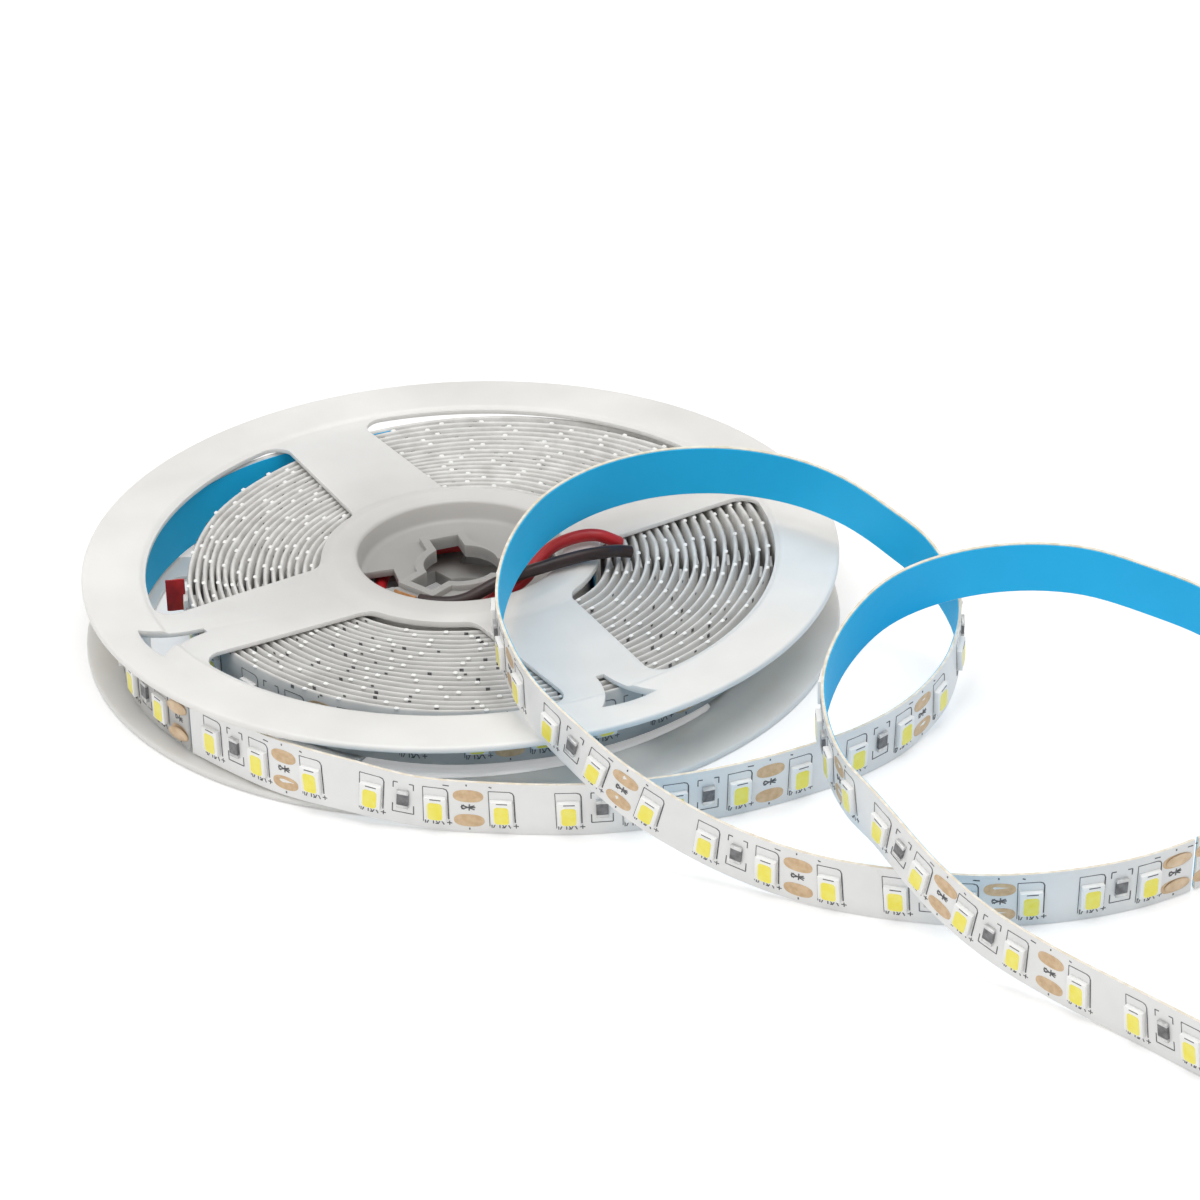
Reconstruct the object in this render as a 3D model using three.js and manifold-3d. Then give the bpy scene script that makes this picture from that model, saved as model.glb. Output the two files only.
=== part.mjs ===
// Reel of LED strip light: two plastic flanged halves, the wound strip between them,
// and the loose end of the strip, which stands on its edge and lies in two loops.
// Millimetres, +Z up. The origin is on the reel's axis, on the surface that it lies on.

import * as THREE from "three";
import { mergeVertices } from "three/addons/utils/BufferGeometryUtils.js";
import Module from "manifold-3d";

const wasm = await Module();
wasm.setup();

// Strip: a flexible board with its adhesive and liner
const stripWidth = 8;
const stripThick = 0.5;
const cutLength = 25;
const ledsPerCut = 3;
const ledLength = 2.8;
const ledWidth = 3.5;
const ledHeight = 0.7;
const resistorLength = 1.6;
const resistorWidth = 3.2;
const resistorHeight = 0.5;
const partDrop = 0.5;
const partSink = 0.2;
// From the first splice to the first cut line, because the board was trimmed there
const firstPads = 16.8;
const nearLength = 331.6;
const looseSteps = 84;

// Clearance between pieces that touch on the real reel
const gap = 0.3;
const underStrip = 0.12;

// Reel halves
const flangeRadius = 50.5;
const rimBandWidth = 7.7;
const plateThick = 0.6;
const bandRise = 0.4;
const edgeRound = 0.4;
const lathSegments = 60;
const curveSteps = 7;
const windowRim = 8.5;
const windowHub = 1.4;
const windowFillet = 2.6;
const spokeCount = 4;
const spokeRimWidth = 12;
const spokeHubWidth = 13.6;
const spokeAngle = 28.5;
const drumRadius = 17.2;
const drumWall = 1;
const hubRingRise = 0.4;
const hubSlopeReach = 0.6;
const wellWall = 0.8;
const wellDepth = 2.9;
const floorThick = 1;
const collarWall = 1.1;
const collarRise = 0.8;
const spindleRadius = 5;
const keyWidth = 4;
const keyReach = 7.8;
const keyCount = 3;
const keyAngle = 108;
const hubSlotAngles = [13, 193, 283];
const hubSlotRadius = 10.8;
const hubSlotLength = 4.2;
const hubSlotWidth = 5;
const drumSlotAngle = 52;
const drumSlotWidth = 3;
const drumSlotHeight = 5;
const drumSlotReach = 4;
const trumpetSpokes = [2, 3];
const trumpetRim = 4.2;
const trumpetLength = 8.6;
const trumpetMouth = 8;
const trumpetThroat = 1.2;
const trumpetCorner = 0.8;
const trumpetBow = 0.3;
const trumpetBend = 0.55;
const trumpetFlare = 1.6;
// How far joined solids run into each other
const overlap = 0.1;

// Wound strip
const turnCount = 18;
const turnPitch = 1.175;
const coilShiftX = 2.6;
const coilShiftY = 0;
const stepsPerTurn = 30;
const startAngle = -10;
const leaveAngle = 112;
const tailSteps = 60;
const tailStart = 6;
const tailStop = 1;

// Lead wires and what joins them to the strip
const leadDiameter = 1.7;
const coreDiameter = 0.9;
const leadSides = 8;
const coreSteps = 4;
const redSteps = 30;
const blackSteps = 18;
const bareLength = 4;
const padLength = 3.6;
const padWidth = 2;
const padOffset = 1.9;
const solderThick = 0.4;

// Retaining tape tab
const tapeReach = 2.5;
const tapeHeight = 4.6;
const tapeThick = 0.3;
const tapeAngle = 183;

// Heights, all worked out from the values above
const rimThick = plateThick + bandRise;
const stripFloor = rimThick + gap;
const stripTop = stripFloor + stripWidth;
const reelHeight = stripTop + gap + rimThick;
const middle = reelHeight / 2;
const coilInnerRadius = drumRadius + gap + stripThick;
const cutReach = 2 * reelHeight;

// Radii of the holes, tied to the flange and to the two drum walls that go one inside the other
const windowOuterRadius = flangeRadius - windowRim;
const windowInnerRadius = drumRadius + windowHub;
const trumpetOuter = flangeRadius - trumpetRim;
const trumpetInner = trumpetOuter - trumpetLength;
const innerDrum = drumRadius - drumWall - gap;
const wellRadius = innerDrum - drumWall - gap - wellWall;

const radians = (degrees) => (degrees * Math.PI) / 180;

const finishes = {
  plastic: new THREE.MeshStandardMaterial({ color: 0xe9e7e5, roughness: 0.42, metalness: 0 }),
  board: new THREE.MeshStandardMaterial({ color: 0xf1f1ee, roughness: 0.5, metalness: 0 }),
  red: new THREE.MeshStandardMaterial({ color: 0xb4212a, roughness: 0.4, metalness: 0 }),
  black: new THREE.MeshStandardMaterial({ color: 0x1d1a1a, roughness: 0.4, metalness: 0 }),
  copper: new THREE.MeshStandardMaterial({ color: 0xc08a5a, roughness: 0.35, metalness: 1 }),
  solder: new THREE.MeshStandardMaterial({ color: 0xc9c9c6, roughness: 0.3, metalness: 1 }),
};

// Solids for cutting and joining
function solidOf(geometry) {
  const bare = geometry.index ? geometry.toNonIndexed() : geometry.clone();
  bare.deleteAttribute("normal");
  bare.deleteAttribute("uv");
  const merged = mergeVertices(bare, 1e-4);
  return new wasm.Manifold(new wasm.Mesh({
    numProp: 3,
    vertProperties: new Float32Array(merged.attributes.position.array),
    triVerts: new Uint32Array(merged.index.array),
  }));
}

function geometryOf(solid) {
  const mesh = solid.getMesh();
  const geometry = new THREE.BufferGeometry();
  geometry.setAttribute("position", new THREE.BufferAttribute(new Float32Array(mesh.vertProperties), 3));
  geometry.setIndex(new THREE.BufferAttribute(new Uint32Array(mesh.triVerts), 1));
  geometry.computeVertexNormals();
  return geometry;
}

function prism(outline, bottom, top, curveSegments) {
  const geometry = new THREE.ExtrudeGeometry(outline, {
    depth: top - bottom,
    bevelEnabled: false,
    curveSegments,
  });
  geometry.translate(0, 0, bottom);
  return solidOf(geometry);
}

function turned(profile, segments) {
  const points = profile.map(([radius, height]) => new THREE.Vector2(radius, height));
  const geometry = new THREE.LatheGeometry(points, segments);
  geometry.rotateX(Math.PI / 2);
  return solidOf(geometry);
}

function spunAboutZ(solid, degrees) {
  return solid.rotate([0, 0, degrees]);
}

// One window between two tapered spokes: an arc outside, an arc inside and straight sides
function windowOutline() {
  const rimHalf = spokeRimWidth / 2;
  const hubHalf = spokeHubWidth / 2;
  const quarter = radians(360 / spokeCount);
  const outerSwing = Math.asin((rimHalf + windowFillet) / (windowOuterRadius - windowFillet));
  const innerSwing = Math.asin((hubHalf + windowFillet) / (windowInnerRadius + windowFillet));
  const outerCentre = windowOuterRadius - windowFillet;
  const innerCentre = windowInnerRadius + windowFillet;
  const outline = new THREE.Shape();
  const corner = (distance, angle, from, to) => {
    outline.absarc(distance * Math.cos(angle), distance * Math.sin(angle), windowFillet, from, to, false);
  };
  outline.absarc(0, 0, windowOuterRadius, outerSwing, quarter - outerSwing, false);
  corner(outerCentre, quarter - outerSwing, quarter - outerSwing, quarter + Math.PI / 2);
  corner(innerCentre, quarter - innerSwing, quarter + Math.PI / 2, quarter - innerSwing + Math.PI);
  outline.absarc(0, 0, windowInnerRadius, quarter - innerSwing, innerSwing, true);
  corner(innerCentre, innerSwing, innerSwing + Math.PI, (3 * Math.PI) / 2);
  corner(outerCentre, outerSwing, -Math.PI / 2, outerSwing);
  return outline;
}

// Flared hole near the rim end of a spoke
function trumpetOutline() {
  const mouth = trumpetMouth / 2;
  const throat = trumpetThroat / 2;
  const length = trumpetOuter - trumpetInner;
  const outline = new THREE.Shape();
  outline.moveTo(trumpetInner, -throat);
  const bend = trumpetInner + length * trumpetBend;
  const flare = throat * trumpetFlare;
  const corner = trumpetOuter - trumpetCorner;
  outline.quadraticCurveTo(bend, -flare, corner, -mouth);
  outline.quadraticCurveTo(trumpetOuter + trumpetBow, 0, corner, mouth);
  outline.quadraticCurveTo(bend, flare, trumpetInner, throat);
  return outline;
}

function box(length, width, height) {
  return solidOf(new THREE.BoxGeometry(length, width, height));
}

// The spindle's round hole with its key slots, or the collar that follows them at a distance
function keyed(distance, bottom, top) {
  const height = top - bottom;
  const radius = spindleRadius + distance;
  const round = new THREE.CylinderGeometry(radius, radius, height, lathSegments / 2);
  const parts = [solidOf(round.rotateX(Math.PI / 2)).translate([0, 0, bottom + height / 2])];
  for (let k = 0; k < keyCount; k += 1) {
    const reach = keyReach + distance;
    const key = box(reach, keyWidth + 2 * distance, height).translate([reach / 2, 0, bottom + height / 2]);
    parts.push(spunAboutZ(key, keyAngle + (k * 360) / keyCount));
  }
  return wasm.Manifold.union(parts);
}

// A half whose outer face is at reelHeight, with its drum's outside radius and its hub ring's rise
function reelHalf(drumOutside, ringRise, slotAngle) {
  const underside = reelHeight - rimThick;
  const spokeTop = underside + plateThick;
  const ringTop = reelHeight + ringRise;
  const bandInner = flangeRadius - rimBandWidth;
  const floorTop = ringTop - wellDepth;
  const floorBottom = floorTop - floorThick;
  const wellOuter = wellRadius + wellWall;
  const core = spindleRadius / 2;
  let half = turned([
    [core, floorBottom],
    [wellOuter, floorBottom],
    [wellOuter, underside],
    [flangeRadius, underside],
    [flangeRadius, reelHeight - edgeRound],
    [flangeRadius - edgeRound, reelHeight],
    [bandInner, reelHeight],
    [bandInner - bandRise * 2, spokeTop],
    [windowInnerRadius + hubSlopeReach, spokeTop],
    [drumRadius, ringTop],
    [wellRadius, ringTop],
    [wellRadius, floorTop],
    [core, floorTop],
    [core, floorBottom],
  ], lathSegments);
  const reach = rimThick + gap;
  half = half.add(turned([
    [drumOutside - drumWall, reach],
    [drumOutside, reach],
    [drumOutside, underside + overlap],
    [drumOutside - drumWall, underside + overlap],
    [drumOutside - drumWall, reach],
  ], lathSegments));
  const windowCut = prism(windowOutline(), -cutReach, cutReach, curveSteps);
  for (let k = 0; k < spokeCount; k += 1) {
    half = half.subtract(spunAboutZ(windowCut, spokeAngle + (k * 360) / spokeCount));
  }
  const trumpetCut = prism(trumpetOutline(), -cutReach, cutReach, curveSteps);
  for (const spoke of trumpetSpokes) {
    half = half.subtract(spunAboutZ(trumpetCut, spokeAngle + (spoke * 360) / spokeCount));
  }
  half = half.add(keyed(collarWall, floorBottom, floorTop + collarRise));
  half = half.subtract(keyed(0, -cutReach, cutReach));
  for (const angle of hubSlotAngles) {
    const slot = box(hubSlotLength, hubSlotWidth, 2 * cutReach).translate([hubSlotRadius, 0, 0]);
    half = half.subtract(spunAboutZ(slot, angle));
  }
  const drumSlot = box(drumRadius - wellRadius + drumSlotReach, drumSlotWidth, drumSlotHeight)
    .translate([(drumRadius + wellRadius) / 2, 0, middle]);
  return half.subtract(spunAboutZ(drumSlot, slotAngle));
}

// The strip's section swept along centre points, with its width along a given direction
function ribbon(points, widths) {
  const position = [];
  const index = [];
  const last = points.length - 1;
  points.forEach((point, i) => {
    const ahead = points[Math.min(i + 1, last)].clone().sub(points[Math.max(i - 1, 0)]).normalize();
    const up = widths[i].clone().addScaledVector(ahead, -widths[i].dot(ahead)).normalize();
    const out = ahead.clone().cross(up);
    for (const [side, rise] of [[-1, -1], [1, -1], [1, 1], [-1, 1]]) {
      const corner = point.clone()
        .addScaledVector(out, (side * stripThick) / 2)
        .addScaledVector(up, (rise * stripWidth) / 2);
      position.push(corner.x, corner.y, corner.z);
    }
  });
  for (let i = 0; i < last; i += 1) {
    for (let k = 0; k < 4; k += 1) {
      const a = i * 4 + k;
      const b = i * 4 + ((k + 1) % 4);
      index.push(a, b + 4, b, a, a + 4, b + 4);
    }
  }
  index.push(0, 1, 2, 0, 2, 3);
  const end = last * 4;
  index.push(end, end + 2, end + 1, end, end + 3, end + 2);
  const geometry = new THREE.BufferGeometry();
  geometry.setAttribute("position", new THREE.Float32BufferAttribute(position, 3));
  geometry.setIndex(index);
  return solidOf(geometry);
}

// Centre line of the strip from the reel's rim outwards: x, y, height of the lower edge, lean
const looseRoute = [
  [-34.3, -34, 1.2, 0],
  [-28.9, -39.4, 1.2, 0],
  [-22.4, -44.9, 1.2, 1],
  [-14.2, -49.5, 1.25, 4],
  [-5, -52.3, 0.3, 8],
  [5, -54, 0, 8],
  [15, -54.9, 0, 8],
  [25, -53.9, 0, 8],
  [34, -51.6, 0, 8],
  [43, -47.8, 0, 8],
  [51, -43, 0, 8],
  [58, -36.2, 0.3, 8],
  [63.2, -27.6, 1.8, 9],
  [64.8, -18.6, 5, 11],
  [61.6, -11.6, 9, 12],
  [56.4, -7, 12, 12],
  [50.8, -1.4, 13.6, 12],
  [44, 4, 14, 12],
  [35.5, 7.4, 14, 12],
  [27, 7.2, 14, 12],
  [19, 3.6, 14, 12],
  [12.8, -2.6, 14, 12],
  [8.6, -11, 14, 12],
  [6, -21, 13.6, 11],
  [5.4, -31, 12.8, 10],
  [7, -40, 12, 9],
  [9.8, -48.2, 11.2, 8],
  [14, -54.2, 9.4, 8],
  [19.6, -59.2, 6.2, 8],
  [26.6, -63.6, 3, 8],
  [34.6, -68.4, 0.9, 8],
  [43.6, -73.3, 0, 8],
  [53.4, -77, 0, 8],
  [63.6, -78.9, 0, 8],
  [74, -78.3, 0, 8],
  [84.6, -75, 0, 8],
  [94.4, -68.8, 0.6, 8],
  [101.4, -60.4, 3, 9],
  [104, -51, 6.6, 11],
  [102, -41.6, 10, 12],
  [96.4, -34.4, 12.4, 12],
  [88.6, -28.2, 13.4, 12],
  [80.2, -22.6, 13.6, 12],
  [71.4, -21.2, 13.6, 12],
  [62.4, -23.6, 13.6, 12],
  [54.8, -29.2, 13.4, 12],
  [49.2, -37, 12, 11],
  [46, -46.4, 10.4, 9],
  [45.6, -56, 9.6, 8],
  [47.2, -66, 9.3, 8],
  [50.8, -75.2, 9.4, 8],
  [56.6, -83.4, 5.6, 8],
  [62.6, -89.6, 2.6, 8],
  [69.6, -95.8, 0.8, 8],
  [77.6, -103.2, 0, 8],
  [86, -112.2, 0, 8],
  [95, -121.4, 0, 8],
  [104, -130.4, 0, 8],
];

// The stretch between the coil's last full turn and the rim
const leavingRoute = [
  [-23, 34.2],
  [-30, 29.9],
  [-36.6, 22.8],
  [-40.9, 14.7],
  [-43.4, 5.8],
  [-44.5, -4.4],
  [-44.1, -14.6],
  [-41, -23.9],
];

function spiralPoints() {
  const points = [];
  const turns = turnCount + (leaveAngle - startAngle) / 360;
  const count = Math.round(turns * stepsPerTurn);
  for (let i = 0; i <= count; i += 1) {
    const turn = (i / count) * turns;
    const radius = coilInnerRadius + stripThick / 2 + turnPitch * turn;
    const share = turn / turns;
    const angle = radians(startAngle) + turn * 2 * Math.PI;
    points.push(new THREE.Vector3(
      coilShiftX * share + radius * Math.cos(angle),
      coilShiftY * share + radius * Math.sin(angle),
      stripFloor + stripWidth / 2,
    ));
  }
  return points;
}

function widthAt(lean) {
  return new THREE.Vector3(0, -Math.sin(radians(lean)), Math.cos(radians(lean)));
}

// Even points along the loose route, with the width direction at each
function looseStations() {
  const places = looseRoute.map(([x, y, low, lean]) => {
    const up = widthAt(lean);
    return new THREE.Vector3(x, y, low + underStrip).addScaledVector(up, stripWidth / 2);
  });
  const curve = new THREE.CatmullRomCurve3(places, false, "centripetal");
  const leans = new THREE.CatmullRomCurve3(
    looseRoute.map(([, , , lean]) => new THREE.Vector3(lean, 0, 0)), false, "catmullrom", 0);
  curve.arcLengthDivisions = 1200;
  const length = curve.getLength();
  const at = (distance) => {
    const t = curve.getUtoTmapping(distance / length);
    return {
      point: curve.getPoint(t),
      ahead: curve.getTangent(t).normalize(),
      width: widthAt(leans.getPoint(t).x),
    };
  };
  return { length, at };
}

const loose = looseStations();

// Axes of the board at a station: along it, across it upwards, and out of its lit face
function axesAt(station, outwards, upwards) {
  const lift = station.width.dot(station.ahead);
  const up = station.width.clone().addScaledVector(station.ahead, -lift).normalize();
  const out = station.ahead.clone().cross(up);
  const centre = station.point.clone().addScaledVector(out, outwards).addScaledVector(up, upwards);
  return new THREE.Matrix4().makeBasis(station.ahead, up, out).setPosition(centre);
}

// Components on the strip's outer face: one block sunk a little into the board
function component(station, length, width, height, drop) {
  const geometry = new THREE.BoxGeometry(length, width, height + partSink);
  geometry.applyMatrix4(axesAt(station, (stripThick + height - partSink) / 2, -drop));
  return solidOf(geometry);
}

// One board section between two distances along the loose route, with a cut line at firstCut
function looseSection(from, to, firstCut) {
  const points = [];
  const widths = [];
  for (let i = 0; i <= looseSteps; i += 1) {
    const station = loose.at(from + ((to - from) * i) / looseSteps);
    points.push(station.point);
    widths.push(station.width);
  }
  const parts = [ribbon(points, widths)];
  const ledPitch = cutLength / ledsPerCut;
  for (let start = firstCut; start < to - gap; start += cutLength) {
    for (let k = 0; k < ledsPerCut; k += 1) {
      const ledPlace = start + (k + 0.5) * ledPitch;
      if (ledPlace > from + ledLength && ledPlace < to - ledLength) {
        parts.push(component(loose.at(ledPlace), ledLength, ledWidth, ledHeight, partDrop));
      }
    }
    const resistorPlace = start + 2 * ledPitch;
    if (resistorPlace < to - resistorLength) {
      const resistor = loose.at(resistorPlace);
      parts.push(component(resistor, resistorLength, resistorWidth, resistorHeight, 0));
    }
  }
  return wasm.Manifold.union(parts);
}

// The second splice, with a small gap between the two boards, and the end on a whole cut length
const spliceGap = 2 * gap;
const farStart = nearLength + spliceGap;
const farCuts = Math.floor((loose.length - farStart) / cutLength);
const farEnd = farStart + farCuts * cutLength;

// The wound strip runs up to the first splice
function woundStrip() {
  const points = spiralPoints();
  const tail = leavingRoute.map(([x, y]) => new THREE.Vector3(x, y, stripFloor + stripWidth / 2));
  const firstSplice = loose.at(0);
  const guide = [points[points.length - 2], points[points.length - 1], ...tail, firstSplice.point];
  const curve = new THREE.CatmullRomCurve3(guide, false, "centripetal");
  const leaving = curve.getSpacedPoints(tailSteps).filter((point) => (
    point.distanceTo(guide[0]) > tailStart && point.distanceTo(firstSplice.point) > tailStop));
  const end = firstSplice.point.clone().addScaledVector(firstSplice.ahead, -spliceGap);
  const all = [...points, ...leaving, end];
  return ribbon(all, all.map(() => new THREE.Vector3(0, 0, 1)));
}

// Centre lines of the two leads, from the coil over the hub ring into the well
const redRoute = [
  [21.2, 1.2, 10.5],
  [20.1, 0.6, 11.4],
  [18.7, 0.4, 12.1],
  [16.9, 0.3, 12.3],
  [14.2, -0.9, 12.3],
  [11.8, -3, 12.1],
  [10.2, -5, 11.3],
  [8.6, -7.1, 10.2],
  [6.8, -8.8, 9.7],
  [4.9, -10, 9.4],
  [3.1, -10.5, 8.1],
  [1.4, -10.7, 6.4],
  [-1.2, -10.8, 5.7],
  [-4.4, -10, 5.6],
  [-7.2, -8.2, 5.6],
  [-9.4, -5.5, 5.6],
  [-10.7, -2.2, 5.6],
  [-10.8, 1.4, 5.6],
  [-9.8, 4.8, 5.6],
  [-7.6, 7.8, 5.6],
  [-4.6, 9.9, 5.6],
  [-1.2, 10.8, 5.6],
  [2.4, 10.6, 5.6],
  [5.6, 9.3, 5.6],
];

const blackRoute = [
  [22.6, -1.2, 10.4],
  [20.9, -2.1, 11.1],
  [19.3, -3.6, 11.8],
  [16.4, -5.1, 12.2],
  [13, -6.7, 12.2],
  [10.8, -7.8, 12.1],
  [9, -8.6, 12],
  [7, -9.5, 11.8],
  [5, -10.4, 11.5],
  [2.8, -11.4, 10.8],
  [0.8, -12, 10.1],
  [-1.4, -12.1, 9.7],
  [-4, -11.5, 9.6],
  [-6.6, -10.2, 9.6],
  [-8.6, -8.6, 9.6],
];

// A lead's jacket, or the core that stands bare at its far end
function wire(route, isCore, steps) {
  const places = route.map(([x, y, z]) => new THREE.Vector3(x, y, z));
  const path = new THREE.CatmullRomCurve3(places, false, "centripetal");
  const length = path.getLength();
  const from = isCore ? length - bareLength + gap : 0;
  const to = isCore ? length : length - bareLength;
  const diameter = isCore ? coreDiameter : leadDiameter;
  const stretch = [];
  for (let i = 0; i <= steps; i += 1) {
    stretch.push(path.getPointAt(Math.min(1, (from + ((to - from) * i) / steps) / length)));
  }
  const section = new THREE.Shape();
  for (let k = 0; k < leadSides; k += 1) {
    const angle = ((k + 0.5) * 2 * Math.PI) / leadSides;
    const corner = [(Math.cos(angle) * diameter) / 2, (Math.sin(angle) * diameter) / 2];
    if (k === 0) {
      section.moveTo(...corner);
    } else {
      section.lineTo(...corner);
    }
  }
  section.closePath();
  const extrudePath = new THREE.CatmullRomCurve3(stretch, false, "centripetal");
  return new THREE.ExtrudeGeometry(section, { steps, bevelEnabled: false, extrudePath });
}

// Solder over the two pads of a splice, one block for each pad
function spliceSolder(distance, side) {
  const outwards = (stripThick + solderThick) / 2 + gap;
  const geometry = new THREE.BoxGeometry(padLength, padWidth, solderThick);
  geometry.applyMatrix4(axesAt(loose.at(distance), outwards, side * padOffset));
  return geometry;
}

// Tab of tape that held the last turn, standing out from the wound strip
function tapeTab() {
  const turn = turnCount + (tapeAngle - startAngle) / 360 - 1;
  const share = turn / (turnCount + (leaveAngle - startAngle) / 360);
  const coilRadius = coilInnerRadius + turnPitch * turn + stripThick;
  const reach = coilRadius + gap + tapeReach / 2;
  const geometry = new THREE.BoxGeometry(tapeReach, tapeThick, tapeHeight);
  geometry.rotateZ(radians(tapeAngle - 180));
  geometry.translate(
    coilShiftX * share + reach * Math.cos(radians(tapeAngle)),
    coilShiftY * share + reach * Math.sin(radians(tapeAngle)),
    stripTop - tapeHeight / 2 - gap,
  );
  return geometry;
}

function place(name, geometry, material) {
  const mesh = new THREE.Mesh(geometry, material);
  mesh.name = name;
  return mesh;
}

const upper = reelHalf(drumRadius, hubRingRise, drumSlotAngle);
const lower = reelHalf(innerDrum, 0, -drumSlotAngle).rotate([180, 0, 0]).translate([0, 0, reelHeight]);
const near = looseSection(0, nearLength, firstPads - cutLength);
const far = looseSection(farStart, farEnd, farStart);
const secondSplice = nearLength + spliceGap / 2;
const redCore = wire(redRoute, true, coreSteps);
const blackCore = wire(blackRoute, true, coreSteps);

const model = new THREE.Group();
model.add(place("upper_reel_half", geometryOf(upper), finishes.plastic));
model.add(place("lower_reel_half", geometryOf(lower), finishes.plastic));
model.add(place("wound_strip", geometryOf(woundStrip()), finishes.board));
model.add(place("loose_strip_near", geometryOf(near), finishes.board));
model.add(place("loose_strip_far", geometryOf(far), finishes.board));
model.add(place("splice_solder_1", spliceSolder(0, 1), finishes.solder));
model.add(place("splice_solder_2", spliceSolder(0, -1), finishes.solder));
model.add(place("splice_solder_3", spliceSolder(secondSplice, 1), finishes.solder));
model.add(place("splice_solder_4", spliceSolder(secondSplice, -1), finishes.solder));
model.add(place("red_lead", wire(redRoute, false, redSteps), finishes.red));
model.add(place("red_lead_core", redCore, finishes.copper));
model.add(place("black_lead", wire(blackRoute, false, blackSteps), finishes.black));
model.add(place("black_lead_core", blackCore, finishes.copper));
model.add(place("tape_tab", tapeTab(), finishes.red));

export default model;
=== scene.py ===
import bpy, math
import numpy as np
from mathutils import Matrix, Vector
from mathutils.kdtree import KDTree


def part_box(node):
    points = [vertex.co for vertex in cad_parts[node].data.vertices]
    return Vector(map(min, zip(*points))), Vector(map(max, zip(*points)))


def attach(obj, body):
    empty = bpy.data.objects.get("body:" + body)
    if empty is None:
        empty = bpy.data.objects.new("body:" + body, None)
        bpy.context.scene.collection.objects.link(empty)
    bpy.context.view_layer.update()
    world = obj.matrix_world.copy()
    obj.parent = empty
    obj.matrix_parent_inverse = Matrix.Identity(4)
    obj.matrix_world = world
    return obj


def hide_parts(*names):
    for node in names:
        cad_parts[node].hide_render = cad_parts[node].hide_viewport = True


# Reel of LED strip light: two flanged halves, the wound strip, and its loose end in two loops.
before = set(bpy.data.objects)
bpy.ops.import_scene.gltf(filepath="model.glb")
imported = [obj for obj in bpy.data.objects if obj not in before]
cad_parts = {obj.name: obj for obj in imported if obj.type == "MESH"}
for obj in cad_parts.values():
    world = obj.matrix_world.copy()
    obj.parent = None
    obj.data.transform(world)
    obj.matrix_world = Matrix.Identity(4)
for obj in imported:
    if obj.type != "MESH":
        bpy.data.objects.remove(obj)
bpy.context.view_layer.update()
mm = 0.001
body = "root"

# Camera at the photograph's viewing angle: place in metres, turns in degrees, lens and sensor in mm
view = {"place": (0.018392, -0.584361, 0.331763), "down": 29.40, "roll": -1.9675, "lens": 150,
        "sensor": 36, "clip": (0.01, 20)}
bpy.ops.object.select_all(action="DESELECT")
bpy.ops.object.camera_add()
camera = bpy.context.object
camera.data.lens = view["lens"]
camera.data.sensor_width = view["sensor"]
camera.data.clip_start, camera.data.clip_end = view["clip"]
tilt = Matrix.Rotation(math.radians(90 - view["down"]), 4, "X")
roll = Matrix.Rotation(math.radians(view["roll"]), 4, "Z")
camera.matrix_world = Matrix.Translation(view["place"]) @ tilt @ roll
bpy.context.scene.camera = camera
print("camera placed")


# Small helpers
def deselectAll():
    if bpy.context.object and bpy.context.object.mode != "OBJECT":
        bpy.ops.object.mode_set(mode="OBJECT")
    bpy.ops.object.select_all(action="DESELECT")


def pick(*things):
    deselectAll()
    for thing in things:
        thing.select_set(True)
    bpy.context.view_layer.objects.active = things[0]


def joined(things, name):
    pick(*things)
    if len(things) > 1:
        bpy.ops.object.join()
    things[0].name = name
    things[0].data.name = name
    return things[0]


def copied(thing):
    twin = thing.copy()
    twin.data = thing.data.copy()
    bpy.context.collection.objects.link(twin)
    return twin


def useModifiers(thing):
    pick(thing)
    for modifier in list(thing.modifiers):
        bpy.ops.object.modifier_apply(modifier=modifier.name)


def placesOf(thing):
    places = np.empty(len(thing.data.vertices) * 3)
    thing.data.vertices.foreach_get("co", places)
    return places.reshape(-1, 3)


def setPlaces(thing, places):
    thing.data.vertices.foreach_set("co", np.ascontiguousarray(places, dtype=float).ravel())
    thing.data.update()


def editAll(thing):
    pick(thing)
    bpy.ops.object.mode_set(mode="EDIT")
    bpy.ops.mesh.select_all(action="SELECT")


def outwards(thing):
    editAll(thing)
    bpy.ops.mesh.remove_doubles(threshold=1e-6)
    bpy.ops.mesh.normals_make_consistent(inside=False)
    bpy.ops.object.mode_set(mode="OBJECT")


def smoothed(thing, degrees=35):
    pick(thing)
    bpy.ops.object.shade_smooth_by_angle(angle=math.radians(degrees))


def finished(thing, material, slot, *nodes):
    thing.data.materials.clear()
    thing.data.materials.append(material)
    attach(thing, body)
    if nodes:
        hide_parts(*nodes)
    return thing


# Finishes: node materials on Object coordinates
def linear(red, green, blue):
    # A display colour of 0 to 255 as a linear one
    return tuple(c / 255 / 12.92 if c <= 10 else ((c / 255 + 0.055) / 1.055) ** 2.4
                 for c in (red, green, blue)) + (1,)


def toneRamp(nodes, stops):
    ramp = nodes.new("ShaderNodeValToRGB")
    for i, (position, tone) in enumerate(stops):
        stop = ramp.color_ramp.elements[i] if i < 2 else ramp.color_ramp.elements.new(position)
        stop.position = position
        stop.color = tone
    return ramp


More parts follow.
